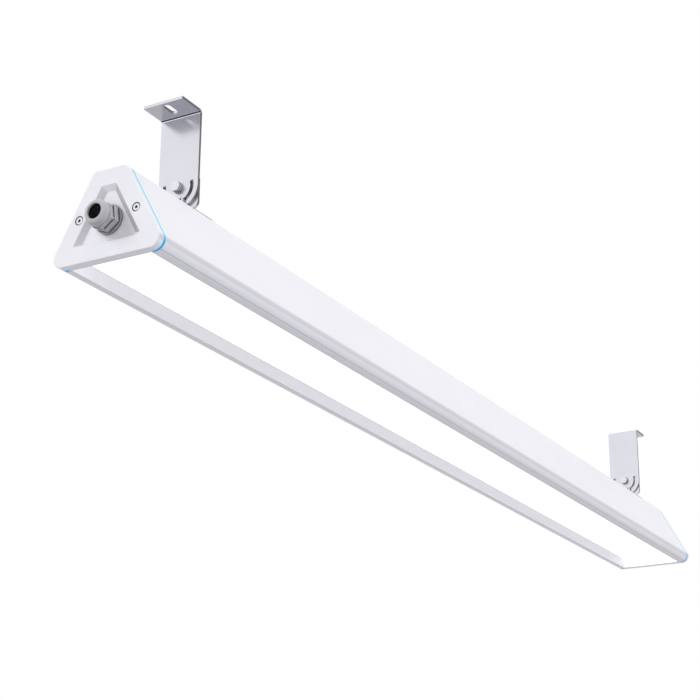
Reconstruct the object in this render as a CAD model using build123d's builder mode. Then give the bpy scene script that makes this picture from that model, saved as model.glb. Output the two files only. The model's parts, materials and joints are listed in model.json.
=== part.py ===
from build123d import *
from math import atan2, cos, degrees, radians, sin, tan
import os

os.makedirs("parts", exist_ok=True)

# A linear high bay light: a three-sided aluminium profile lit from below, with a cap and a gasket
# at each end, and two folded steel brackets that slide along its top slot and tilt on a bolt.
# X runs along the light with the cable gland at the -X end, Z is up, and the origin lies on the
# ceiling, midway between the fixing slots of the two brackets. All sizes are millimetres.

# Overall sizes
overall_length = 1200.0
base_width = 111.0
top_width = 30.0
section_height = 75.5
bottom_round = 8.5
top_round = 5.0

# Profile section
wall = 2.2
rail_gap = 74.6
rail_wall = 1.8
recess_to_diffuser = 12.4
channel_depth = 2.0
channel_wall = 1.9
tray_level = 30.0
tray_rib = 1.5
drip_groove = 0.45
drip_groove_angle = 30.0
screw_port_wall = 2.0
port_rib = 2.4

# Top slot for the bracket feet
slot_mouth = 5.8
slot_lip = 2.0
slot_wall = 1.8

# Diffuser, gear tray and what they carry
diffuser_thickness = 2.0
tray_thickness = 2.0
tray_end_gap = 26.0
board_count = 3
board_width = 40.0
board_thickness = 1.6
board_gap = 3.0
board_end_gap = 8.0
chip_size = 3.0
chip_thickness = 0.7
chip_rows = 2
chip_line_gap = 20.0
chips_per_row = 12
small_screw_head = 2.6
small_screw_head_height = 1.6
small_screw_shank = 1.4
board_screw_gap = 30.0
driver_length = 280.0
driver_width = 38.0
driver_height = 24.0
driver_start = 150.0
driver_foot = 12.0
driver_foot_thickness = 2.0
driver_edge_round = 2.0
terminal_length = 24.0
terminal_width = 33.0
terminal_height = 17.0
terminal_start = 72.0
terminal_ways = 3
terminal_screw_radius = 1.7
terminal_edge_round = 1.5
terminal_screw_sink = 1.5
terminal_wire_grip = 6.0
wire_radius = 1.1
wire_level = 8.0
lead_gap = 5.0
lead_run = 28.0
lead_bend = 6.0
grommet_radius = 7.5
grommet_lip = 1.2
grommet_bore = 4.5
screw_end_gap = 0.2

# End caps and gaskets
cap_thickness = 6.2
cap_edge_round = 1.0
cap_land_margin = 2.2
gasket_thickness = 2.4
gasket_sill = 2.0
cap_recess_depth = 3.5
cap_recess_top = 61.2
cap_recess_bottom = 13.2
cap_recess_margin = 15.8
cap_recess_draft = 4.6
cap_recess_bottom_draft = 2.4
cap_recess_round = 2.2
cap_screw_y = 27.0
cap_screw_height = 36.5
cap_screw_shank = 1.7
cap_screw_head = 3.3
cap_screw_head_height = 1.5
cap_screw_head_chamfer = 0.3
cap_screw_length = 20.0
cap_screw_sink = 0.3
cap_screw_socket = 2.5
cap_screw_socket_depth = 1.8
cap_screw_seat = 3.9

# Cable gland
gland_height = 32.6
gland_thread = 9.9
gland_flange = 12.2
gland_flange_thickness = 1.4
gland_washer_thickness = 0.8
gland_neck = 10.2
gland_neck_length = 0.8
gland_body_hex = 20.8
gland_body_hex_length = 5.0
gland_nut_hex = 20.4
gland_nut_hex_length = 4.6
gland_nut_gap = 0.5
gland_dome = 10.4
gland_dome_length = 6.6
gland_dome_round = 3.1
gland_groove = 0.45
gland_mouth = 6.5
gland_cable = 5.5
gland_body_bore = 6.6
gland_upper_thread = 8.5
gland_upper_thread_length = 5.4
gland_seal_lip = 8.2
gland_seal_lip_length = 1.8
gland_turn = 22.4
gland_hex_round = 0.6
gland_panel_depth = 0.6
gland_panel_width = 9.2
gland_locknut_hex = 24.0
gland_locknut_length = 4.5
gland_shank_spare = 1.6

# Brackets
fixing_setback = 75.0
plate_thickness = 2.5
bracket_width = 39.0
pivot_rise = 20.0
ceiling_to_pivot = 67.5
flange_length = 26.0
bend_radius = 1.5
flange_corner = 1.0
flange_slot_length = 16.0
flange_slot_width = 6.5
flange_slot_setback = 11.0
arc_radius = 13.8
arc_width = 3.4
arc_overrun = 12.0
lock_angle = 20.0
foot_plate_width = 36.5
foot_plate_height = 30.0
foot_plate_corner = 5.5
foot_width = 22.0
foot_length = 36.0
foot_corner = 4.0
foot_screw_start = 11.0
foot_screw_spacing = 17.0

# Bracket fasteners
pivot_shank = 2.5
pivot_head_flats = 8.0
pivot_head_height = 3.5
pivot_washer_radius = 5.0
pivot_washer_thickness = 1.0
pivot_nut_flats = 8.0
pivot_nut_height = 4.0
pivot_spare = 1.5
lock_shank = 1.5
lock_head = 2.75
lock_head_height = 3.0
lock_head_chamfer = 0.4
lock_socket = 2.5
lock_socket_depth = 1.5
lock_spare = 0.8
foot_screw_shank = 2.5
foot_screw_head = 4.5
foot_screw_head_height = 3.0
foot_screw_head_chamfer = 0.6
foot_screw_socket = 4.0
foot_screw_socket_depth = 1.6
slot_nut_side = 8.0
slot_nut_height = 4.0
slot_nut_play = 0.4

# Clearances
pivot_clearance = 0.1
hole_clearance = 0.2
slide_clearance = 0.2
fit_clearance = 0.3

# Levels and stations worked out from the sizes above
base_z = -(section_height + pivot_rise + ceiling_to_pivot)
top_z = base_z + section_height
pivot_z = top_z + pivot_rise
side_slope = (base_width - top_width) / 2 / section_height
side_angle = degrees(atan2(section_height, (base_width - top_width) / 2))
wall_across = wall / sin(radians(side_angle))
end_x = overall_length / 2
fixing_x = end_x - fixing_setback
profile_end = end_x - cap_thickness - gasket_thickness
profile_length = 2 * profile_end
slot_channel = slot_nut_side + 2 * slot_nut_play
slot_channel_height = slot_nut_height + 3 * slide_clearance
slot_depth = slot_lip + slot_channel_height
tray_top = tray_level + tray_thickness
board_level = tray_level - board_thickness
gland_floor_x = -end_x + cap_recess_depth
gland_z = base_z + gland_height
cap_floor = cap_thickness - cap_recess_depth
cap_land = rail_gap + 2 * cap_land_margin
ends = (("near", -1), ("far", 1))
upwards = (Align.CENTER, Align.CENTER, Align.MIN)
downwards = (Align.CENTER, Align.CENTER, Align.MAX)


def half_width(height):
    """Half of the section's outer width at a height above its base, before the corners are rounded."""
    return base_width / 2 - side_slope * height


def section_plane(x):
    """The plane across the light at x, with its origin on the base line of the section."""
    return Plane(origin=(x, 0, base_z), x_dir=(0, 1, 0), z_dir=(1, 0, 0))


def axis_plane(x, y, z, direction):
    """A plane at a point on a fastener's axis, facing along X in the given direction."""
    return Plane(origin=(x, y, z), x_dir=(0, 1, 0), z_dir=(direction, 0, 0))


def finish(piece, name):
    """Label a finished piece and write it out."""
    piece.part.label = name
    export_step(piece.part, f"parts/{name}.step")


# Outlines across the light, drawn once and used by profile, gaskets and caps
with BuildSketch() as body_outline:
    with BuildLine():
        Polyline(
            (-base_width / 2, 0),
            (base_width / 2, 0),
            (top_width / 2, section_height),
            (-top_width / 2, section_height),
            close=True,
        )
    make_face()
    fillet(body_outline.vertices().group_by(Axis.Y)[0], bottom_round)
    fillet(body_outline.vertices().group_by(Axis.Y)[-1], top_round)

with BuildSketch() as inner_outline:
    add(body_outline.sketch)
    offset(amount=-wall, mode=Mode.REPLACE)


def recess_outline(draft, bottom_draft):
    """The three-sided outline of the cap's recess, drawn in by a draft from its mouth."""
    low = cap_recess_bottom + bottom_draft
    high = cap_recess_top - draft
    inset = cap_recess_margin + draft / sin(radians(side_angle))
    with BuildSketch() as outline:
        with BuildLine():
            Polyline(
                (-(half_width(low) - inset), low),
                (half_width(low) - inset, low),
                (half_width(high) - inset, high),
                (-(half_width(high) - inset), high),
                close=True,
            )
        make_face()
        fillet(outline.vertices().group_by(Axis.Y)[0], cap_recess_round)
    return outline.sketch


# Housing profile: one extrusion with rails, diffuser channels, tray ribs, screw ports and top slot
channel_height = diffuser_thickness + fit_clearance
rail_top = recess_to_diffuser + channel_height + channel_wall
channel_back = rail_gap / 2 + channel_depth + rail_wall
corner_y = base_width / 2 - bottom_round / tan(radians(side_angle / 2))
groove_y = corner_y + bottom_round * sin(radians(drip_groove_angle))
groove_height = bottom_round - bottom_round * cos(radians(drip_groove_angle))
tray_slot = tray_thickness + fit_clearance
tray_edge = half_width(tray_top) - wall_across - 2 * fit_clearance
tray_hold = tray_edge - channel_depth
port_radius = cap_screw_shank + pivot_clearance
with BuildPart() as housing_profile:
    with BuildSketch(section_plane(-profile_end)):
        add(body_outline.sketch)
        add(inner_outline.sketch, mode=Mode.SUBTRACT)
        # Rails beside the recess, each closed on top by a web out to the side wall
        for side in (-1, 1):
            with Locations((side * rail_gap / 2, 0)):
                Rectangle(rail_wall * 2, rail_top, align=(Align.CENTER, Align.MIN))
            with Locations((side * rail_gap / 2, rail_top)):
                Rectangle(base_width, channel_wall, align=(Align.CENTER, Align.MAX))
            with Locations((side * channel_back / 2, rail_top)):
                Rectangle(channel_back, channel_height + 2 * channel_wall, align=(Align.CENTER, Align.MAX))
            # Ribs above and below the gear tray
            with Locations((side * (tray_hold + base_width / 2), tray_level - fit_clearance / 2)):
                Rectangle(base_width, tray_rib, align=(Align.CENTER, Align.MAX))
            with Locations((side * (tray_hold + base_width / 2), tray_level - fit_clearance / 2 + tray_slot)):
                Rectangle(base_width, tray_rib, align=(Align.CENTER, Align.MIN))
            # Screw port with a rib out to the side wall
            with Locations((side * cap_screw_y, cap_screw_height)):
                Circle(port_radius + screw_port_wall)
            with Locations((side * (cap_screw_y + base_width / 2), cap_screw_height)):
                Rectangle(base_width, port_rib)
        # Box of the top slot
        with Locations((0, section_height)):
            Rectangle(
                slot_channel + 2 * slot_wall, slot_depth + slot_wall, align=(Align.CENTER, Align.MAX)
            )
        add(body_outline.sketch, mode=Mode.INTERSECT)
        with Locations((0, section_height)):
            Rectangle(slot_mouth, 2 * slot_lip, mode=Mode.SUBTRACT)
        with Locations((0, section_height - slot_lip)):
            Rectangle(
                slot_channel, slot_channel_height, align=(Align.CENTER, Align.MAX), mode=Mode.SUBTRACT
            )
        # Opening between the rails, up to the chamber, and the channels that hold the diffuser
        Rectangle(rail_gap, 2 * rail_top, mode=Mode.SUBTRACT)
        with Locations((0, recess_to_diffuser)):
            Rectangle(
                rail_gap + 2 * channel_depth,
                channel_height,
                align=(Align.CENTER, Align.MIN),
                mode=Mode.SUBTRACT,
            )
        for side in (-1, 1):
            with Locations((side * cap_screw_y, cap_screw_height)):
                Circle(port_radius, mode=Mode.SUBTRACT)
            with Locations((side * groove_y, groove_height)):
                Circle(drip_groove, mode=Mode.SUBTRACT)
    extrude(amount=profile_length)
finish(housing_profile, "housing_profile")

# Opal diffuser, slid into the channels of the rails
with BuildPart() as diffuser:
    with BuildSketch(section_plane(-profile_end)):
        with Locations((0, recess_to_diffuser + fit_clearance / 2)):
            Rectangle(
                rail_gap + 2 * channel_depth - 2 * fit_clearance,
                diffuser_thickness,
                align=(Align.CENTER, Align.MIN),
            )
    extrude(amount=profile_length)
finish(diffuser, "diffuser")

# Gear tray, slid in between the ribs of the side walls
tray_length = profile_length - 2 * tray_end_gap
tray_end = tray_length / 2
driver_x = -tray_end + driver_start + driver_length / 2
lead_x = driver_x + driver_length / 2 + lead_run
small_screw_hole = small_screw_shank + pivot_clearance
board_room = tray_length - 2 * board_end_gap - (board_count - 1) * board_gap
board_length = board_room / board_count
board_pitch = board_length + board_gap
with BuildPart() as gear_tray:
    with BuildSketch(section_plane(-tray_end)):
        with Locations((0, tray_level)):
            Rectangle(2 * tray_edge - 2 * fit_clearance, tray_thickness, align=(Align.CENTER, Align.MIN))
    extrude(amount=tray_length)
    with Locations((lead_x, 0, base_z + tray_top)):
        Hole(grommet_radius - grommet_lip)
    with Locations((driver_x, 0, base_z + tray_top)):
        with GridLocations(driver_length + driver_foot, driver_width - driver_foot, 2, 2):
            Hole(small_screw_hole)
    with Locations((0, 0, base_z + tray_top)):
        with GridLocations(board_pitch, board_screw_gap, board_count, 2):
            Hole(small_screw_hole)
finish(gear_tray, "gear_tray")

# Circuit boards under the tray, end to end, with holes for the screws and for the leads
with BuildPart() as led_boards:
    with Locations((0, 0, base_z + tray_level)):
        with GridLocations(board_pitch, 1, board_count, 1):
            Box(board_length, board_width, board_thickness, align=downwards)
        with GridLocations(board_pitch, board_screw_gap, board_count, 2):
            Hole(small_screw_hole, depth=board_thickness)
    with Locations((lead_x, 0, base_z + tray_level)):
        with GridLocations(1, lead_gap, 1, 2):
            Hole(wire_radius + pivot_clearance, depth=board_thickness)
finish(led_boards, "led_boards")

# Light-emitting chips in rows along the boards
chip_pitch = board_pitch / chips_per_row
with BuildPart() as led_chips:
    with Locations((0, 0, base_z + board_level)):
        with GridLocations(chip_pitch, chip_line_gap, board_count * chips_per_row, chip_rows):
            Box(chip_size, chip_size, chip_thickness, align=downwards)
finish(led_chips, "led_chips")

# Screws that hold the boards up against the tray
with BuildPart() as led_board_screws:
    with Locations((0, 0, base_z + board_level)):
        with GridLocations(board_pitch, board_screw_gap, board_count, 2):
            Cylinder(small_screw_head, small_screw_head_height, align=downwards)
            Cylinder(small_screw_shank, board_thickness + tray_thickness - screw_end_gap, align=upwards)
finish(led_board_screws, "led_board_screws")

# Driver on top of the tray, with a foot at each end
driver_base = base_z + tray_top
with BuildPart() as led_driver:
    with Locations((driver_x, 0, driver_base)):
        Box(driver_length, driver_width, driver_height, align=upwards)
    fillet(led_driver.edges().filter_by(Axis.X).group_by(Axis.Z)[-1], driver_edge_round)
    with Locations((driver_x, 0, driver_base)):
        Box(driver_length + 2 * driver_foot, driver_width, driver_foot_thickness, align=upwards)
    with Locations((driver_x, 0, driver_base + driver_foot_thickness)):
        with GridLocations(driver_length + driver_foot, driver_width - driver_foot, 2, 2):
            Hole(small_screw_hole, depth=driver_foot_thickness)
finish(led_driver, "led_driver")

# Screws of the driver's feet
driver_screw_z = driver_base + driver_foot_thickness
with BuildPart() as driver_screws:
    with Locations((driver_x, 0, driver_screw_z)):
        with GridLocations(driver_length + driver_foot, driver_width - driver_foot, 2, 2):
            Cylinder(small_screw_head, small_screw_head_height, align=upwards)
            Cylinder(
                small_screw_shank, driver_foot_thickness + tray_thickness - screw_end_gap, align=downwards
            )
finish(driver_screws, "driver_screws")

# Terminal block for the supply, near the gland
terminal_x = -tray_end + terminal_start
terminal_pitch = terminal_width / terminal_ways
with BuildPart() as terminal_block:
    with Locations((terminal_x, 0, driver_base)):
        Box(terminal_length, terminal_width, terminal_height, align=upwards)
    fillet(terminal_block.edges().filter_by(Axis.Y).group_by(Axis.Z)[-1], terminal_edge_round)
    with Locations((terminal_x, 0, driver_base + terminal_height)):
        with GridLocations(terminal_length / 2, terminal_pitch, 2, terminal_ways):
            Hole(terminal_screw_radius + hole_clearance, depth=terminal_height - wire_level)
    with Locations(axis_plane(terminal_x + terminal_length / 2, 0, driver_base + wire_level, 1)):
        with GridLocations(terminal_pitch, 1, terminal_ways, 1):
            Hole(wire_radius + hole_clearance, depth=terminal_wire_grip)
    with Locations(axis_plane(terminal_x - terminal_length / 2, 0, driver_base + wire_level, -1)):
        with GridLocations(terminal_pitch, 1, terminal_ways, 1):
            Hole(wire_radius + hole_clearance, depth=terminal_wire_grip)
finish(terminal_block, "terminal_block")

# Clamping screws sunk in the terminal block, each ending just above its wire
terminal_screw_length = terminal_height - terminal_screw_sink - wire_level - wire_radius - pivot_clearance
with BuildPart() as terminal_screws:
    with Locations((terminal_x, 0, driver_base + terminal_height - terminal_screw_sink)):
        with GridLocations(terminal_length / 2, terminal_pitch, 2, terminal_ways):
            Cylinder(terminal_screw_radius, terminal_screw_length, align=downwards)
finish(terminal_screws, "terminal_screws")

# Supply leads from the terminal block to the driver
supply_start = terminal_x + terminal_length / 2 - terminal_wire_grip + fit_clearance
supply_length = driver_x - driver_length / 2 - supply_start
with BuildPart() as supply_wires:
    with BuildSketch(axis_plane(supply_start, 0, driver_base + wire_level, 1)):
        with GridLocations(terminal_pitch, 1, terminal_ways, 1):
            Circle(wire_radius)
    extrude(amount=supply_length)
finish(supply_wires, "supply_wires")

# Leads from the driver down through the tray to the boards
lead_start = driver_x + driver_length / 2
lead_z = driver_base + wire_level + lead_bend
with BuildPart() as led_wires:
    for offset_y in (-lead_gap / 2, lead_gap / 2):
        with BuildLine() as lead_path:
            FilletPolyline(
                (lead_start, offset_y, lead_z),
                (lead_x, offset_y, lead_z),
                (lead_x, offset_y, base_z + board_level + screw_end_gap),
                radius=lead_bend,
            )
        with BuildSketch(axis_plane(lead_start, offset_y, lead_z, 1)):
            Circle(wire_radius)
        sweep(path=lead_path.line)
finish(led_wires, "led_wires")

# Rubber grommet where the leads pass through the tray
with BuildPart() as tray_grommet:
    with Locations((lead_x, 0, base_z + tray_top)):
        Cylinder(grommet_radius, grommet_lip, align=upwards)
        Cylinder(grommet_radius - grommet_lip - pivot_clearance, tray_thickness, align=downwards)
        Cylinder(grommet_bore, 2 * (grommet_lip + tray_thickness), mode=Mode.SUBTRACT)
finish(tray_grommet, "tray_grommet")

# Caps, gaskets and cap screws, the same at both ends but for the gland's hole
recess_mouth = recess_outline(0, 0)
recess_floor = recess_outline(cap_recess_draft, cap_recess_bottom_draft)
gasket_opening = recess_outline(0, rail_top + gasket_sill - cap_recess_bottom)
gland_hole = gland_thread + hole_clearance
for end, side in ends:
    face_x = side * end_x
    outward = Axis((0, 0, 0), (side, 0, 0))
    screw_z = base_z + cap_screw_height
    screw_seats = [axis_plane(face_x, y, screw_z, side) for y in (-cap_screw_y, cap_screw_y)]
    screw_heads = [seat.offset(-cap_screw_sink) for seat in screw_seats]

    with BuildPart() as end_cap:
        with BuildSketch(section_plane(face_x)):
            add(body_outline.sketch)
        extrude(amount=-side * cap_thickness)
        fillet(end_cap.faces().sort_by(outward)[-1].edges(), cap_edge_round)
        with BuildSketch(section_plane(face_x)):
            add(recess_mouth)
        with BuildSketch(section_plane(face_x - side * cap_recess_depth)):
            add(recess_floor)
        loft(mode=Mode.SUBTRACT)
        with Locations(*screw_seats):
            CounterBoreHole(
                cap_screw_shank + hole_clearance, cap_screw_seat, cap_screw_sink + cap_screw_head_height
            )
        # Land on the inner face, which closes the end of the light recess inside the gasket
        with BuildSketch(section_plane(face_x - side * cap_thickness)):
            Rectangle(cap_land, recess_to_diffuser, align=(Align.CENTER, Align.MIN))
        extrude(amount=-side * (gasket_thickness - fit_clearance))
        if end == "near":
            with Locations(axis_plane(gland_floor_x, 0, gland_z, -1)):
                Hole(gland_hole, depth=cap_thickness)
    finish(end_cap, f"{end}_end_cap")

    with BuildPart() as gasket:
        with BuildSketch(section_plane(face_x - side * cap_thickness)):
            add(body_outline.sketch)
            add(gasket_opening, mode=Mode.SUBTRACT)
            Rectangle(
                cap_land + 2 * fit_clearance, 2 * (recess_to_diffuser + fit_clearance), mode=Mode.SUBTRACT
            )
            with Locations((-cap_screw_y, cap_screw_height), (cap_screw_y, cap_screw_height)):
                Circle(cap_screw_shank + hole_clearance, mode=Mode.SUBTRACT)
        extrude(amount=-side * gasket_thickness)
    finish(gasket, f"{end}_gasket")

    with BuildPart(*screw_heads) as cap_screws:
        Cylinder(cap_screw_head, cap_screw_head_height, align=downwards)
        chamfer(cap_screws.edges().group_by(outward)[-1], cap_screw_head_chamfer)
        Cylinder(cap_screw_shank, cap_screw_length, align=downwards)
        with BuildSketch(*screw_heads):
            RegularPolygon(cap_screw_socket / 2, 6, major_radius=False)
        extrude(amount=-cap_screw_socket_depth, mode=Mode.SUBTRACT)
    finish(cap_screws, f"{end}_cap_screws")

# Cable gland, built outwards from the floor of the near cap's recess
gland_flange_end = gland_washer_thickness + gland_flange_thickness
gland_hex_start = gland_flange_end + gland_neck_length
gland_hex_end = gland_hex_start + gland_body_hex_length
gland_thread_end = gland_hex_end + gland_upper_thread_length
gland_nut_start = gland_hex_end + gland_nut_gap
gland_dome_start = gland_nut_start + gland_nut_hex_length
gland_dome_end = gland_dome_start + gland_dome_length
gland_shank_end = -(cap_floor + gland_locknut_length + gland_shank_spare)
gland_seal_end = gland_thread_end + pivot_clearance + gland_seal_lip_length
gland_nut_bore = gland_upper_thread + hole_clearance


def gland_plane(distance):
    """A plane across the gland's axis, a distance out from the floor of the cap's recess."""
    return axis_plane(gland_floor_x - distance, 0, gland_z, -1)


with BuildPart(gland_plane(0)) as gland_washer:
    Cylinder(gland_flange - fit_clearance, gland_washer_thickness, align=upwards)
    Cylinder(gland_hole, 2 * gland_washer_thickness, mode=Mode.SUBTRACT)
finish(gland_washer, "gland_washer")

with BuildPart(gland_plane(0)) as gland_body:
    with Locations((0, 0, gland_washer_thickness)):
        Cylinder(gland_flange, gland_flange_thickness, align=upwards)
    with Locations((0, 0, gland_flange_end)):
        Cylinder(gland_neck, gland_neck_length, align=upwards)
    with BuildSketch(gland_plane(gland_hex_start)) as hexagon:
        RegularPolygon(gland_body_hex / 2, 6, major_radius=False, rotation=-gland_turn)
        fillet(hexagon.vertices(), gland_hex_round)
    extrude(amount=gland_body_hex_length)
    with Locations((0, 0, gland_hex_end)):
        Cylinder(gland_upper_thread, gland_upper_thread_length, align=upwards)
    with Locations((0, 0, gland_shank_end)):
        Cylinder(gland_thread, gland_washer_thickness - gland_shank_end, align=upwards)
        Cylinder(gland_body_bore, gland_thread_end - gland_shank_end, align=upwards, mode=Mode.SUBTRACT)
finish(gland_body, "gland_body")

with BuildPart(gland_plane(0)) as gland_nut:
    with BuildSketch(gland_plane(gland_nut_start)) as hexagon:
        RegularPolygon(gland_nut_hex / 2, 6, major_radius=False, rotation=-gland_turn)
        fillet(hexagon.vertices(), gland_hex_round)
    extrude(amount=gland_nut_hex_length)
    # Corners turned off at the front, down to the flats
    with Locations((0, 0, gland_nut_start)):
        Cone(
            gland_nut_hex / 2 + gland_nut_hex_length,
            gland_nut_hex / 2,
            gland_nut_hex_length,
            align=upwards,
            mode=Mode.INTERSECT,
        )
    # Recessed grip panels in the rear half of each flat
    with Locations((0, 0, gland_nut_start)):
        with PolarLocations(gland_nut_hex / 2, 6, start_angle=30 - gland_turn):
            Box(2 * gland_panel_depth, gland_panel_width, gland_nut_hex_length, mode=Mode.SUBTRACT)
    with Locations((0, 0, gland_dome_start)):
        Cylinder(gland_dome - gland_groove, gland_groove, align=upwards)
    with Locations((0, 0, gland_dome_start + gland_groove)):
        Cylinder(gland_dome, gland_dome_length - gland_groove, align=upwards)
    fillet(gland_nut.edges().filter_by(GeomType.CIRCLE).sort_by(Axis.X)[0], gland_dome_round)
    cone_length = gland_nut_bore - gland_mouth
    cone_start = gland_seal_end + fit_clearance
    with Locations((0, 0, gland_nut_start)):
        Cylinder(gland_nut_bore, cone_start - gland_nut_start, align=upwards, mode=Mode.SUBTRACT)
    with Locations((0, 0, cone_start)):
        Cone(gland_nut_bore, gland_mouth, cone_length, align=upwards, mode=Mode.SUBTRACT)
        Cylinder(gland_mouth, gland_dome_end - cone_start, align=upwards, mode=Mode.SUBTRACT)
finish(gland_nut, "gland_nut")

with BuildPart(gland_plane(0)) as gland_seal:
    with Locations((0, 0, gland_hex_start)):
        Cylinder(gland_body_bore - pivot_clearance, gland_seal_end - gland_hex_start, align=upwards)
    with Locations((0, 0, gland_thread_end + pivot_clearance)):
        Cylinder(gland_seal_lip, gland_seal_lip_length, align=upwards)
    with Locations((0, 0, gland_hex_start)):
        Cylinder(gland_cable, gland_seal_end - gland_hex_start, align=upwards, mode=Mode.SUBTRACT)
finish(gland_seal, "gland_seal")

with BuildPart() as gland_locknut:
    with BuildSketch(gland_plane(-cap_floor)):
        RegularPolygon(gland_locknut_hex / 2, 6, major_radius=False, rotation=-gland_turn)
        Circle(gland_hole, mode=Mode.SUBTRACT)
    extrude(amount=-gland_locknut_length)
finish(gland_locknut, "gland_locknut")

# Brackets: a foot bracket clamped in the top slot, and a tilt bracket that turns on its pivot bolt
flange_edge = fixing_x + flange_slot_setback
flange_face = flange_edge - flange_length
outer_bend = bend_radius + plate_thickness
foot_z = top_z + slide_clearance
foot_top = foot_z + plate_thickness
slot_nut_top = top_z - slot_lip - slide_clearance
foot_screw_length = foot_top - slot_nut_top + slot_nut_height - screw_end_gap
foot_screw_middle = plate_thickness + foot_screw_start + foot_screw_spacing / 2
lock_y = -arc_radius * sin(radians(lock_angle))
lock_z = pivot_z - arc_radius * cos(radians(lock_angle))
slot_arc = CenterArc((0, 0), arc_radius, 180 - arc_overrun, 180 + 2 * arc_overrun)
for end, side in ends:
    plate_inner = side * flange_face
    plate_outer = side * (flange_face - plate_thickness)
    tilt_x = min(plate_inner, plate_outer)
    head_x = tilt_x - slide_clearance
    foot_x = tilt_x + plate_thickness + slide_clearance
    foot_back = foot_x + plate_thickness
    screws_x = foot_x + foot_screw_middle

    with BuildPart() as tilt_bracket:
        with BuildSketch(Plane.XZ) as fold:
            with BuildLine():
                Polyline(
                    (plate_outer, 0),
                    (side * flange_edge, 0),
                    (side * flange_edge, -plate_thickness),
                    (plate_inner, -plate_thickness),
                    (plate_inner, pivot_z),
                    (plate_outer, pivot_z),
                    close=True,
                )
            make_face()
            fillet(fold.vertices().sort_by_distance((plate_outer, 0))[0], outer_bend)
            fillet(fold.vertices().sort_by_distance((plate_inner, -plate_thickness))[0], bend_radius)
        extrude(amount=bracket_width / 2, both=True)
        free_edge = tilt_bracket.faces().sort_by(Axis((0, 0, 0), (side, 0, 0)))[-1]
        fillet(free_edge.edges().filter_by(Axis.Z), flange_corner)
        with BuildSketch(axis_plane(tilt_x, 0, pivot_z, 1)):
            Circle(bracket_width / 2)
        extrude(amount=plate_thickness)
        with BuildSketch(axis_plane(tilt_x, 0, pivot_z, 1)):
            Circle(pivot_shank + pivot_clearance)
            SlotArc(slot_arc, arc_width)
        extrude(amount=plate_thickness, mode=Mode.SUBTRACT)
        with BuildSketch(Plane.XY):
            with Locations((side * fixing_x, 0)):
                SlotOverall(flange_slot_length, flange_slot_width)
        extrude(amount=-plate_thickness, mode=Mode.SUBTRACT)
    finish(tilt_bracket, f"{end}_tilt_bracket")

    with BuildPart() as foot_bracket:
        with BuildSketch(axis_plane(foot_x, 0, foot_z, 1)):
            with Locations((0, foot_plate_height / 2)):
                RectangleRounded(foot_plate_width, foot_plate_height, foot_plate_corner)
            Rectangle(foot_width, 2 * outer_bend, mode=Mode.SUBTRACT)
        extrude(amount=plate_thickness)
        # The fold down to the foot, and the foot itself
        with BuildSketch(Plane.XZ) as fold:
            with BuildLine():
                Polyline(
                    (foot_x, foot_z),
                    (foot_x + foot_length, foot_z),
                    (foot_x + foot_length, foot_top),
                    (foot_back, foot_top),
                    (foot_back, foot_z + 2 * outer_bend),
                    (foot_x, foot_z + 2 * outer_bend),
                    close=True,
                )
            make_face()
            fillet(fold.vertices().sort_by_distance((foot_x, foot_z))[0], outer_bend)
            fillet(fold.vertices().sort_by_distance((foot_back, foot_top))[0], bend_radius)
        extrude(amount=foot_width / 2, both=True)
        foot_end = foot_bracket.faces().sort_by(Axis.X)[-1]
        fillet(foot_end.edges().filter_by(Axis.Z), foot_corner)
        with Locations((screws_x, 0, foot_top)):
            with GridLocations(foot_screw_spacing, 1, 2, 1):
                Hole(foot_screw_shank + hole_clearance, depth=plate_thickness)
        with Locations(axis_plane(foot_x, 0, pivot_z, -1)):
            Hole(pivot_shank + pivot_clearance, depth=plate_thickness)
        with Locations(axis_plane(foot_x, lock_y, lock_z, -1)):
            Hole(lock_shank + pivot_clearance, depth=plate_thickness)
    finish(foot_bracket, f"{end}_foot_bracket")

    # Screws of the foot and the square nuts that they pull up in the slot
    with BuildPart() as foot_screws:
        with Locations((screws_x, 0, foot_top)):
            with GridLocations(foot_screw_spacing, 1, 2, 1):
                Cylinder(foot_screw_head, foot_screw_head_height, align=upwards)
                Cylinder(foot_screw_shank, foot_screw_length, align=downwards)
        chamfer(foot_screws.edges().group_by(Axis.Z)[-1], foot_screw_head_chamfer)
        with BuildSketch(Plane.XY.offset(foot_top + foot_screw_head_height)):
            with Locations((screws_x, 0)):
                with GridLocations(foot_screw_spacing, 1, 2, 1):
                    RegularPolygon(foot_screw_socket / 2, 6, major_radius=False)
        extrude(amount=-foot_screw_socket_depth, mode=Mode.SUBTRACT)
    finish(foot_screws, f"{end}_foot_screws")

    with BuildPart() as slot_nuts:
        with Locations((screws_x, 0, slot_nut_top)):
            with GridLocations(foot_screw_spacing, 1, 2, 1):
                Box(slot_nut_side, slot_nut_side, slot_nut_height, align=downwards)
                Hole(foot_screw_shank + pivot_clearance, depth=slot_nut_height)
    finish(slot_nuts, f"{end}_slot_nuts")

    # Pivot bolt with its washer in front of the tilt bracket and its nut behind the foot bracket
    washer_x = head_x - pivot_washer_thickness
    pivot_length = foot_back + pivot_nut_height + pivot_spare - washer_x
    with BuildPart() as pivot_bolt:
        with BuildSketch(axis_plane(washer_x, 0, pivot_z, -1)):
            RegularPolygon(pivot_head_flats / 2, 6, major_radius=False)
        extrude(amount=pivot_head_height)
        with BuildSketch(axis_plane(washer_x, 0, pivot_z, 1)):
            Circle(pivot_shank)
        extrude(amount=pivot_length)
    finish(pivot_bolt, f"{end}_pivot_bolt")

    with BuildPart() as pivot_washer:
        with BuildSketch(axis_plane(washer_x, 0, pivot_z, 1)):
            Circle(pivot_washer_radius)
            Circle(pivot_shank + hole_clearance, mode=Mode.SUBTRACT)
        extrude(amount=pivot_washer_thickness)
    finish(pivot_washer, f"{end}_pivot_washer")

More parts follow.
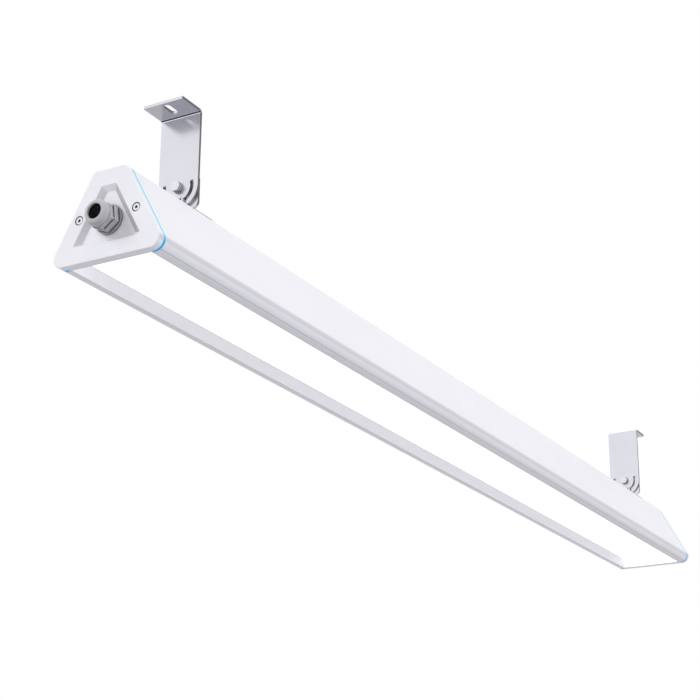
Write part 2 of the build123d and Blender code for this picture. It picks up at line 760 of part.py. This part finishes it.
    with BuildPart() as pivot_nut:
        with BuildSketch(axis_plane(foot_back, 0, pivot_z, 1)):
            RegularPolygon(pivot_nut_flats / 2, 6, major_radius=False)
            Circle(pivot_shank + pivot_clearance, mode=Mode.SUBTRACT)
        extrude(amount=pivot_nut_height)
    finish(pivot_nut, f"{end}_pivot_nut")

    # Screw that runs in the arc slot and locks the tilt, threaded into the foot bracket
    lock_length = foot_back + lock_spare - head_x
    with BuildPart(axis_plane(head_x, lock_y, lock_z, -1)) as lock_screw:
        Cylinder(lock_head, lock_head_height, align=upwards)
        chamfer(lock_screw.edges().sort_by(Axis.X)[0], lock_head_chamfer)
        Cylinder(lock_shank, lock_length, align=downwards)
        with BuildSketch(axis_plane(head_x - lock_head_height, lock_y, lock_z, -1)):
            RegularPolygon(lock_socket / 2, 6, major_radius=False)
        extrude(amount=-lock_socket_depth, mode=Mode.SUBTRACT)
    finish(lock_screw, f"{end}_lock_screw")
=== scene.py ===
import json
from math import cos, pi, radians, sin

import bpy
from mathutils import Euler, Matrix, Vector


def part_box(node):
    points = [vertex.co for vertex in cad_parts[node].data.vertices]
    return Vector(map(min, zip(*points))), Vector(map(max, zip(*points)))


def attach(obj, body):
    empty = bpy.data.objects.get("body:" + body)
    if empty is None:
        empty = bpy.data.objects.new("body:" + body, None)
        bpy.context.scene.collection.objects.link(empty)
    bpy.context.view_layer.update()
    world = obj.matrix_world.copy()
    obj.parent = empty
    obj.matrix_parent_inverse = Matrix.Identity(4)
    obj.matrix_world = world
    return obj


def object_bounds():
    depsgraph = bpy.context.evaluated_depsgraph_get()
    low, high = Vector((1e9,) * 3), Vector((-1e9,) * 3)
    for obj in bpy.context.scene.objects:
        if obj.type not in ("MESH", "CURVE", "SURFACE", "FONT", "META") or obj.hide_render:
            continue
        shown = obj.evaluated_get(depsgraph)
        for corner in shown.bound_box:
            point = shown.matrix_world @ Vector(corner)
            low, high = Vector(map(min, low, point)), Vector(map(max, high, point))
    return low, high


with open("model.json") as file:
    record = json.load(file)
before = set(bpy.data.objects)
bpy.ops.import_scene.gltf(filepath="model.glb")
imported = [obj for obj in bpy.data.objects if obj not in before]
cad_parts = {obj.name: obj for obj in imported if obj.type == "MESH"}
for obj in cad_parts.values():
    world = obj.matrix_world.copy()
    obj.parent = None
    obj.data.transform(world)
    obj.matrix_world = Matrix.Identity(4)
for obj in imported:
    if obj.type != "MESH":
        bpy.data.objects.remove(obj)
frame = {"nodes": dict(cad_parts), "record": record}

cad_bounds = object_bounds()
nodes = frame["nodes"]

# Camera: where the photograph was taken from, in metres and degrees, and its focal length in pixels
camera_place = Vector((-1.54304, -0.74769, -0.66536))
camera_azimuth = 29.525
camera_elevation = 19.853
camera_roll = 0.307
focal_pixels = 1704.7
image_pixels = 700
sensor_mm = 36.0
clip_near = 0.01
clip_far = 100.0

# Studio: the floor, an even fill, suns as direction and strength, and soft boxes as place, width and
# power, each turned to the light's middle
floor_level = -4.0
floor_size = 37.0
floor_colour = (0.46, 0.46, 0.48)
floor_lift = 0.6
floor_roughness = 0.9
fill_colour = (0.97, 0.97, 1.0)
fill_strength = 0.38
sun_place = (0.0, 0.0, 1.0)
sun_softness = 30.0
suns = {
    "sun_near_end": ((0.6, -0.6, -0.5), 1.9),
    "sun_side": ((0.0, 1.0, 0.0), 0.84),
    "sun_overhead": ((0.0, 0.3, -0.95), 1.35),
    "sun_far_end": ((-1.0, 0.0, 0.0), 1.2),
}
soft_boxes = {
    "box_near_end": ((-2.4, -0.6, -0.9), 1.0, 6.2),
    "box_near_side": ((-1.3, -2.0, 0.6), 1.2, 3.0),
}

# Colours that more than one finish uses, the painted shade of gaps and bends and the painted highlight
# beside a bend, and the strength of what glows
white = (1.0, 1.0, 1.0)
white_coat = (0.86, 0.855, 0.90)
opal_white = (0.95, 0.95, 0.95)
slot_shadow = (0.08, 0.08, 0.085)
fastener_shadow = (0.01, 0.01, 0.01)
bend_shadow = (0.03, 0.03, 0.035)
bend_shine = (0.95, 0.95, 0.97)
opal_glow = 0.76
# Glow of the end strips: painted light that stands in for the opal sheet's light on the caps' lands
painted_strip_light = 0.88

# Grain of the finishes, in cells of noise to the metre, and the part of its range that noise mostly fills
coat_peel = 900.0
coat_cloud = 14.0
steel_grain = 260.0
steel_cloud = 60.0
sheet_grain = 300.0
sheet_cloud = 40.0
matt_texture = 1500.0
matt_cloud = 80.0
opal_texture = 1200.0
opal_cloud = 30.0
floor_cloud = 1.5
noise_low = 0.3
noise_high = 0.7

# Stretch of the grain: up the sheet of the brackets, and along the tray
up_the_sheet = (1.0, 1.0, 0.03)
along_the_tray = (0.04, 1.0, 1.0)

# Relief of the finishes, and how wide a gap their shade fills, in metres
coat_relief = 0.000004
steel_relief = 0.0000004
matt_relief = 0.00001
coat_gap = 0.002
cap_gap = 0.007
steel_gap = 0.0015
sheet_gap = 0.0008
matt_gap = 0.0025

# Where painted shade and painted light change, by how far a surface faces along an axis: 1 is squarely
# along it and -1 against it.
# The first number of a ramp is where the change begins and the second is where it is full.
coat_wall = (0.94, 0.99)
coat_slope = (0.46, 0.62)
coat_under = (-0.5, -0.97)
steel_flank = (-0.2, -0.7)
steel_under = (-0.3, -0.8)
sheet_edge = (0.3, 0.9)
flange_under = (-0.98, -0.995)
matt_under = (-0.55, -0.95)
rim_top = (-0.2, 0.4)
bend_dark = (-0.97, -0.5)
bend_bright = (-0.42, -0.12)
bend_sideways = 0.1

# Depth of the painted shade there, as shares of the finish's own colour
coat_wall_shade = 0.8
coat_under_shade = 0.9
flange_under_shade = 0.46
matt_gap_shade = 0.03

# Details that only the scene has, in metres
ends = (("near", -1), ("far", 1))
cap_screw_head = 0.0033
cap_screw_seat = 0.0039
seal_sink = 0.0003
seal_gap = 0.00003
seal_crown = 0.00015
seal_depth = 0.001
strip_past_profile = 0.0002
strip_thickness = 0.0004
strip_rise = 0.0008
strip_gap = 0.0002
strip_inset = 0.0018
pivot_root = 0.0025
pivot_pitch = 0.0008
lock_root = 0.0015
lock_pitch = 0.0005

# A thread's height, and its half width at the root, as shares of its pitch
thread_height = 0.55
thread_flank = 0.4


def add_camera():
    """The photograph's camera, turned from the view along +Y by its azimuth, elevation and roll."""
    data = bpy.data.cameras.new("camera")
    data.sensor_width = sensor_mm
    data.lens = focal_pixels / image_pixels * sensor_mm
    data.clip_start = clip_near
    data.clip_end = clip_far
    camera = bpy.data.objects.new("camera", data)
    bpy.context.scene.collection.objects.link(camera)
    turn = Euler((radians(90.0 + camera_elevation), 0.0, radians(camera_azimuth - 90.0))).to_matrix()
    roll = Matrix.Rotation(radians(camera_roll), 3, "Z")
    camera.matrix_world = Matrix.Translation(camera_place) @ (turn @ roll).to_4x4()
    bpy.context.scene.camera = camera


class Nodes:
    """A node tree, with short calls for its nodes and links."""

    def __init__(self, tree):
        self.tree = tree

    def node(self, kind, **values):
        new = self.tree.nodes.new(kind)
        for name, value in values.items():
            setattr(new, name, value)
        return new

    def link(self, source, target):
        self.tree.links.new(source, target)

    def combine(self, operation, first, second):
        """One number worked out from two, such as their product or the larger of them."""
        result = self.node("ShaderNodeMath", operation=operation)
        self.link(first, result.inputs[0])
        self.link(second, result.inputs[1])
        return result.outputs["Value"]

    def seen(self):
        """1 for what the eye, a reflection or glass shows, and 0 for light that falls on a surface."""
        path = self.node("ShaderNodeLightPath")
        seen = path.outputs["Is Camera Ray"]
        for ray in ("Is Glossy Ray", "Is Transmission Ray"):
            seen = self.combine("MAXIMUM", seen, path.outputs[ray])
        return seen


class Shader(Nodes):
    """A material's node tree, with calls for the looks that the finishes below share."""

    def __init__(self, name):
        self.material = bpy.data.materials.new(name)
        self.material.use_nodes = True
        super().__init__(self.material.node_tree)
        self.surface = self.tree.nodes["Principled BSDF"]

    def set(self, **values):
        for name, value in values.items():
            self.surface.inputs[name.replace("_", " ")].default_value = value

    def noise(self, scale, detail=2.0, stretch=(1.0, 1.0, 1.0)):
        """Noise in object coordinates, which are metres in the part's own frame, drawn out by a stretch."""
        place = self.node("ShaderNodeTexCoord")
        mapping = self.node("ShaderNodeMapping")
        mapping.inputs["Scale"].default_value = stretch
        self.link(place.outputs["Object"], mapping.inputs["Vector"])
        noise = self.node("ShaderNodeTexNoise")
        noise.inputs["Scale"].default_value = scale
        noise.inputs["Detail"].default_value = detail
        self.link(mapping.outputs["Vector"], noise.inputs["Vector"])
        return noise.outputs["Fac"]

    def spread(self, source, source_low, source_high, low, high):
        """A source's range from one amount to another, spread over low to high."""
        span = self.node("ShaderNodeMapRange")
        span.inputs["From Min"].default_value = source_low
        span.inputs["From Max"].default_value = source_high
        span.inputs["To Min"].default_value = low
        span.inputs["To Max"].default_value = high
        self.link(source, span.inputs["Value"])
        return span.outputs["Result"]

    def facing(self, axis, ramp, side=1):
        """How far up a ramp the surface faces along an axis of the part, or along the axis's other side."""
        place = self.node("ShaderNodeTexCoord")
        parts = self.node("ShaderNodeSeparateXYZ")
        self.link(place.outputs["Normal"], parts.inputs["Vector"])
        return self.spread(parts.outputs[axis], side * ramp[0], side * ramp[1], 0.0, 1.0)

    def band(self, axis, limits, soft, side=1):
        """1 where the surface faces along an axis between two limits, fading out beyond them."""
        low, high = limits
        above = self.facing(axis, (low - soft, low), side)
        below = self.facing(axis, (high + soft, high), side)
        return self.combine("MULTIPLY", above, below)

    def fold(self, limits, soft):
        """1 on a fold about Y, which hardly faces sideways, where it faces along Z between two limits."""
        across = self.band("Y", (-bend_sideways, bend_sideways), bend_sideways)
        return self.combine("MULTIPLY", self.band("Z", limits, soft), across)

    def mottle(self, source, colour, dark, light=1.0):
        """Base colour that wanders with the source between a darker and a lighter tone."""
        mix = self.node("ShaderNodeMix", data_type="RGBA")
        mix.inputs["A"].default_value = (*shade(colour, dark), 1.0)
        mix.inputs["B"].default_value = (*shade(colour, light), 1.0)
        self.link(self.spread(source, noise_low, noise_high, 0.0, 1.0), mix.inputs["Factor"])
        self.link(mix.outputs["Result"], self.surface.inputs["Base Color"])

    def roughen(self, source, middle, wander):
        """Roughness that wanders with the source about a middle value."""
        rough = self.spread(source, noise_low, noise_high, middle - wander, middle + wander)
        self.link(rough, self.surface.inputs["Roughness"])

    def overlay(self, factor, colour):
        """A second colour laid over the base colour so far, where the factor is high."""
        below = self.surface.inputs["Base Color"].links[0].from_socket
        mix = self.node("ShaderNodeMix", data_type="RGBA")
        mix.inputs["B"].default_value = (*colour, 1.0)
        self.link(factor, mix.inputs["Factor"])
        self.link(below, mix.inputs["A"])
        self.link(mix.outputs["Result"], self.surface.inputs["Base Color"])

    def crease(self, reach, colour, depth=1.0, onset=0.85, full=0.3, samples=8):
        """Shade in grooves, sockets and inner corners that are narrower than the reach."""
        hollow = self.node("ShaderNodeAmbientOcclusion", samples=samples)
        hollow.inputs["Distance"].default_value = reach
        self.overlay(self.spread(hollow.outputs["AO"], onset, full, 0.0, depth), colour)

    def bump(self, source, height):
        """Relief of a height in metres."""
        bump = self.node("ShaderNodeBump")
        bump.inputs["Strength"].default_value = 1.0
        bump.inputs["Distance"].default_value = height
        self.link(source, bump.inputs["Height"])
        self.link(bump.outputs["Normal"], self.surface.inputs["Normal"])


def shade(colour, amount):
    """A colour made darker or lighter by a factor."""
    return tuple(min(1.0, part * amount) for part in colour)


def powder_coat(name, colour, roughness, gap, gap_shade, slope_shades=(1.0, 1.0)):
    """Powder coat with a fine orange peel, with painted shade on upright walls, underneath, in a recess's
    slopes and in narrow gaps.
    """
    shader = Shader(name)
    peel = shader.noise(coat_peel)
    shader.mottle(shader.noise(coat_cloud, detail=3.0), colour, 0.985, 1.01)
    shader.roughen(peel, roughness, wander=0.04)
    # Painted shade on upright walls, in a recess's slopes and underneath, and in gaps narrower than the
    # reach
    for side in (1, -1):
        shader.overlay(shader.facing("Y", coat_wall, side), shade(colour, coat_wall_shade))
    for side, tone in zip((1, -1), slope_shades):
        shader.overlay(shader.band("Y", coat_slope, soft=0.05, side=side), shade(colour, tone))
    shader.overlay(shader.facing("Z", coat_under), shade(colour, coat_under_shade))
    shader.bump(peel, coat_relief)
    shader.crease(gap, shade(colour, gap_shade))
    shader.set(Specular_IOR_Level=0.3)
    return shader.material


def rolled_steel(name, colour, roughness, stretch=(1.0, 1.0, 1.0), flank_shade=1.0):
    """Zinc-plated steel with a faint grain, with painted shade underneath and, on fasteners, on the side
    towards -Y.
    """
    shader = Shader(name)
    lines = shader.noise(steel_grain, detail=3.0, stretch=stretch)
    shader.mottle(shader.noise(steel_cloud), colour, 0.97, 1.02)
    shader.roughen(lines, roughness, wander=0.05)
    # Painted shade on the side towards -Y and underneath, and in narrow gaps
    shader.overlay(shader.facing("Y", steel_flank), shade(colour, flank_shade))
    shader.overlay(shader.facing("Z", steel_under), shade(colour, flank_shade / 2))
    shader.bump(lines, steel_relief)
    shader.crease(steel_gap, fastener_shadow)
    shader.set(Metallic=1.0)
    return shader.material


def cut_sheet(name, colour, edge_shade, roughness):
    """Zinc-plated sheet, with painted shade under its flange and on the cut edges that face along Y."""
    shader = Shader(name)
    shader.mottle(shader.noise(sheet_cloud), colour, 0.98, 1.01)
    # Painted shade on the cut edges that face along Y and under the flange
    for side in (-1, 1):
        shader.overlay(shader.facing("Y", sheet_edge, side), edge_shade)
    shader.overlay(shader.facing("Z", flange_under), shade(colour, flange_under_shade))
    # Painted shade and painted highlight along the inside of the bend: a dark line beside a bright one
    shader.overlay(shader.fold(bend_dark, soft=0.03), bend_shadow)
    shader.overlay(shader.fold(bend_bright, soft=0.05), bend_shine)
    shader.crease(sheet_gap, slot_shadow, depth=0.6)
    shader.roughen(shader.noise(sheet_grain, detail=3.0, stretch=up_the_sheet), roughness, wander=0.01)
    shader.set(Metallic=1.0)
    return shader.material


def moulded(name, colour, roughness, under_shade=1.0):
    """Moulded plastic or rubber: a fine matt texture, a slightly uneven colour, painted shade below of its
    own depth, and painted shade in narrow gaps.
    """
    shader = Shader(name)
    texture = shader.noise(matt_texture)
    shader.mottle(shader.noise(matt_cloud), colour, 0.94, 1.04)
    shader.roughen(texture, roughness, wander=0.05)
    shader.bump(texture, matt_relief)
    # Painted shade underneath and in narrow gaps
    shader.overlay(shader.facing("Z", matt_under), shade(colour, under_shade))
    shader.crease(matt_gap, shade(colour, matt_gap_shade), onset=0.97)
    return shader.material


def silicone(name, colour, painted_light):
    """Coloured silicone, with painted light where its edge faces up."""
    shader = Shader(name)
    shader.mottle(shader.noise(matt_cloud), colour, 0.97, 1.02)
    # Painted light where the edge faces up
    shader.overlay(shader.facing("Z", rim_top), painted_light)
    shader.roughen(shader.noise(matt_texture), 0.4, wander=0.05)
    shader.set(Specular_IOR_Level=0.05)
    return shader.material


def lit_opal(name, glow):
    """The opal sheet, lit from behind: a smooth white that glows evenly. On the end strips its glow is
    painted light.
    """
    shader = Shader(name)
    shader.mottle(shader.noise(opal_cloud), opal_white, 0.98)
    shader.roughen(shader.noise(opal_texture), 0.35, wander=0.05)
    shader.set(Emission_Color=(*white, 1.0), Emission_Strength=glow)
    return shader.material


def make_finishes():
    """Every finish by the name of its slot in the record, and the brighter glow of the end strips, which is
    painted light.
    """
    return {
        "white_profile": powder_coat("white_profile", white_coat, 0.42, coat_gap, 0.36),
        "white_cap": powder_coat("white_cap", white_coat, 0.45, cap_gap, 0.42, (0.55, 0.85)),
        "opal_sheet": lit_opal("opal_sheet", opal_glow),
        "painted_end_light": lit_opal("painted_end_light", painted_strip_light),
        "cyan_silicone": silicone("cyan_silicone", (0.0, 0.47, 0.98), (0.22, 0.72, 0.86)),
        "grey_plastic": moulded("grey_plastic", (0.46, 0.46, 0.48), 0.36, under_shade=0.8),
        "black_rubber": moulded("black_rubber", (0.012, 0.012, 0.012), 0.6),
        "bracket_steel": cut_sheet("bracket_steel", (0.74, 0.74, 0.80), (0.13, 0.13, 0.14), 0.24),
        "zinc_steel": rolled_steel("zinc_steel", (0.80, 0.80, 0.82), 0.2, flank_shade=0.65),
        "tray_sheet": rolled_steel("tray_sheet", (0.80, 0.80, 0.81), 0.35, stretch=along_the_tray),
        "board_white": moulded("board_white", (0.84, 0.86, 0.84), 0.4),
        "chip_phosphor": moulded("chip_phosphor", (0.85, 0.62, 0.12), 0.3),
        "driver_case": moulded("driver_case", (0.74, 0.74, 0.74), 0.45),
        "terminal_plastic": moulded("terminal_plastic", (0.68, 0.68, 0.62), 0.4),
        "wire_sleeve": moulded("wire_sleeve", (0.50, 0.02, 0.015), 0.4),
    }


def dress_nodes():
    """Gives each CAD node the finish of its slot."""
    for part in frame["record"]["subparts"]:
        materials = nodes[part["node"]].data.materials
        materials.clear()
        materials.append(finishes[part["material_slot"]])


def add_piece(name, rows, faces, body, slot, smooth=True, finish=None):
    """A new piece from its points and faces, riding on a body, in its slot's finish or one of its own."""
    mesh = bpy.data.meshes.new(name)
    mesh.from_pydata(rows, [], faces)
    mesh.materials.append(finishes[finish or slot])
    for face in mesh.polygons:
        face.use_smooth = smooth
    piece = bpy.data.objects.new(name, mesh)
    bpy.context.scene.collection.objects.link(piece)
    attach(piece, body)


def loop_faces(count, rings):
    """Faces between neighbouring rings of points, each ring closed on itself."""
    faces = []
    for ring in range(rings - 1):
        for step in range(count):
            after = (step + 1) % count
            start = ring * count
            following = start + count
            faces.append((start + step, start + after, following + after, following + step))
    return faces


def add_ring(name, middle, outline, body, slot, count=48):
    """A ring turned about a line along X through its middle, from an outline of distance and radius."""
    rows = []
    for distance, radius in outline:
        for step in range(count):
            angle = 2 * pi * step / count
            across = Vector((distance, radius * cos(angle), radius * sin(angle)))
            rows.append(middle + across)
    add_piece(name, rows, loop_faces(count, len(outline)), body, slot)


def add_screw_seals():
    """Black sealing rings round the heads of the cap screws, sunk just below the faces of the heads. Their
    black also paints the shade in the gap round each head.
    """
    for end, side in ends:
        low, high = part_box(f"{end}_cap_screws")
        face_x = side * (max(abs(low.x), abs(high.x)) - seal_sink)
        middle_z = (low.z + high.z) / 2
        for hand, y in (("left", high.y - cap_screw_head), ("right", low.y + cap_screw_head)):
            outline = [
                (0.0, cap_screw_head + seal_gap),
                (side * seal_crown, (cap_screw_head + cap_screw_seat) / 2),
                (0.0, cap_screw_seat - seal_gap),
                (-side * seal_depth, cap_screw_seat - seal_gap),
                (-side * seal_depth, cap_screw_head + seal_gap),
                (0.0, cap_screw_head + seal_gap),
            ]
            middle = Vector((face_x, y, middle_z))
            # The outline runs the other way round at the far end, so that all faces look outwards
            add_ring(f"{end}_{hand}_screw_seal", middle, outline[::-side], "light", "black_rubber")


def add_end_strips():
    """Strips that close the ends of the light recess, standing on the caps' lands, whose glow is painted
    light for the opal sheet's light falling on the lands.
    """
    low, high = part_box("housing_profile")
    sheet_low, sheet_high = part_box("diffuser")
    bottom = low.z + strip_rise
    top = sheet_low.z - strip_gap
    half = sheet_high.y - strip_inset
    for end, side in ends:
        start = side * (high.x + strip_past_profile)
        faces_x = sorted((start, start - side * strip_thickness), reverse=True)
        rows = [
            (x, y * half, z)
            for x in faces_x
            for y, z in ((-1, bottom), (1, bottom), (1, top), (-1, top))
        ]
        faces = [(0, 1, 2, 3), (7, 6, 5, 4), (0, 4, 5, 1), (1, 5, 6, 2), (2, 6, 7, 3), (3, 7, 4, 0)]
        name = f"{end}_recess_strip"
        add_piece(name, rows, faces, "light", "opal_sheet", smooth=False, finish="painted_end_light")


def add_thread(name, start, length, root, pitch, body, slot, count=24):
    """A helical thread along X from a point on a bolt's axis, standing on a shank of the root's radius."""
    rows = []
    steps = int(count * length / pitch)
    for step in range(steps + 1):
        angle = 2 * pi * step / count
        along = length * step / steps
        fade = min(1.0, step / count, (steps - step) / count)
        crest = root + thread_height * pitch * fade
        for shift, radius in ((-thread_flank, root), (0.0, crest), (thread_flank, root)):
            reach = min(max(along + shift * pitch, 0.0), length)
            rows.append(start + Vector((reach, radius * cos(angle), radius * sin(angle))))
    # Each step has three points across the thread, and two faces that join them to the next three
    faces = []
    for step in range(steps):
        for low in (3 * step, 3 * step + 1):
            faces.append((low + 3, low + 4, low + 1, low))
    add_piece(name, rows, faces, body, slot)


def add_threads():
    """Threads on the ends of the pivot bolts and lock screws, behind the foot brackets."""
    for end, side in ends:
        nut_low, nut_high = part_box(f"{end}_pivot_nut")
        fasteners = (
            ("pivot_thread", "pivot_bolt", nut_high.x, pivot_root, pivot_pitch),
            ("lock_thread", "lock_screw", nut_low.x, lock_root, lock_pitch),
        )
        for name, node, start_x, root, pitch in fasteners:
            low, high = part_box(f"{end}_{node}")
            start = Vector((start_x, (low.y + high.y) / 2, (low.z + high.z) / 2))
            add_thread(f"{end}_{name}", start, high.x - start_x, root, pitch, f"{end}_foot", "zinc_steel")


def add_floor():
    """A plain floor far below the light, lifted to white where it is seen, so that it keeps its shadow."""
    half = floor_size / 2
    mesh = bpy.data.meshes.new("floor")
    corners = [(-half, -half, 0.0), (half, -half, 0.0), (half, half, 0.0), (-half, half, 0.0)]
    mesh.from_pydata(corners, [], [(0, 1, 2, 3)])
    floor = bpy.data.objects.new("floor", mesh)
    floor.location.z = floor_level
    bpy.context.scene.collection.objects.link(floor)
    shader = Shader("floor")
    shader.mottle(shader.noise(floor_cloud), floor_colour, 0.99)
    shader.set(Roughness=floor_roughness, Emission_Color=(*shade(white, floor_lift), 1.0))
    shader.link(shader.seen(), shader.surface.inputs["Emission Strength"])
    mesh.materials.append(shader.material)


def add_world():
    """A world that is plain white where it is seen, and otherwise gives a soft pale fill."""
    world = bpy.data.worlds.new("world")
    world.use_nodes = True
    # Sampled through the surfaces alone, so that reflections of the white sky come out evenly
    world.cycles.sampling_method = "NONE"
    bpy.context.scene.world = world
    sky = Nodes(world.node_tree)
    fill = sky.tree.nodes["Background"]
    fill.inputs["Color"].default_value = (*fill_colour, 1.0)
    fill.inputs["Strength"].default_value = fill_strength
    plain = sky.node("ShaderNodeBackground")
    plain.inputs["Color"].default_value = (*white, 1.0)
    mix = sky.node("ShaderNodeMixShader")
    sky.link(sky.seen(), mix.inputs["Fac"])
    sky.link(fill.outputs["Background"], mix.inputs[1])
    sky.link(plain.outputs["Background"], mix.inputs[2])
    sky.link(mix.outputs["Shader"], sky.tree.nodes["World Output"].inputs["Surface"])


def add_lamp(name, kind, power, place, direction):
    """One lamp, shining along a direction."""
    data = bpy.data.lights.new(name, kind)
    data.energy = power
    lamp = bpy.data.objects.new(name, data)
    lamp.visible_glossy = False
    lamp.location = place
    lamp.rotation_euler = Vector(direction).to_track_quat("-Z", "Y").to_euler()
    bpy.context.scene.collection.objects.link(lamp)
    return data


def add_lamps():
    """The suns, and the soft boxes turned to the light's middle."""
    for name, (direction, strength) in suns.items():
        add_lamp(name, "SUN", strength, sun_place, direction).angle = radians(sun_softness)
    middle = (cad_bounds[0] + cad_bounds[1]) / 2
    for name, (place, width, power) in soft_boxes.items():
        add_lamp(name, "AREA", power, place, middle - Vector(place)).size = width


add_camera()
add_world()
add_lamps()
add_floor()
finishes = make_finishes()
dress_nodes()
add_screw_seals()
add_end_strips()
add_threads()

bpy.context.scene.view_settings.view_transform = "Standard"
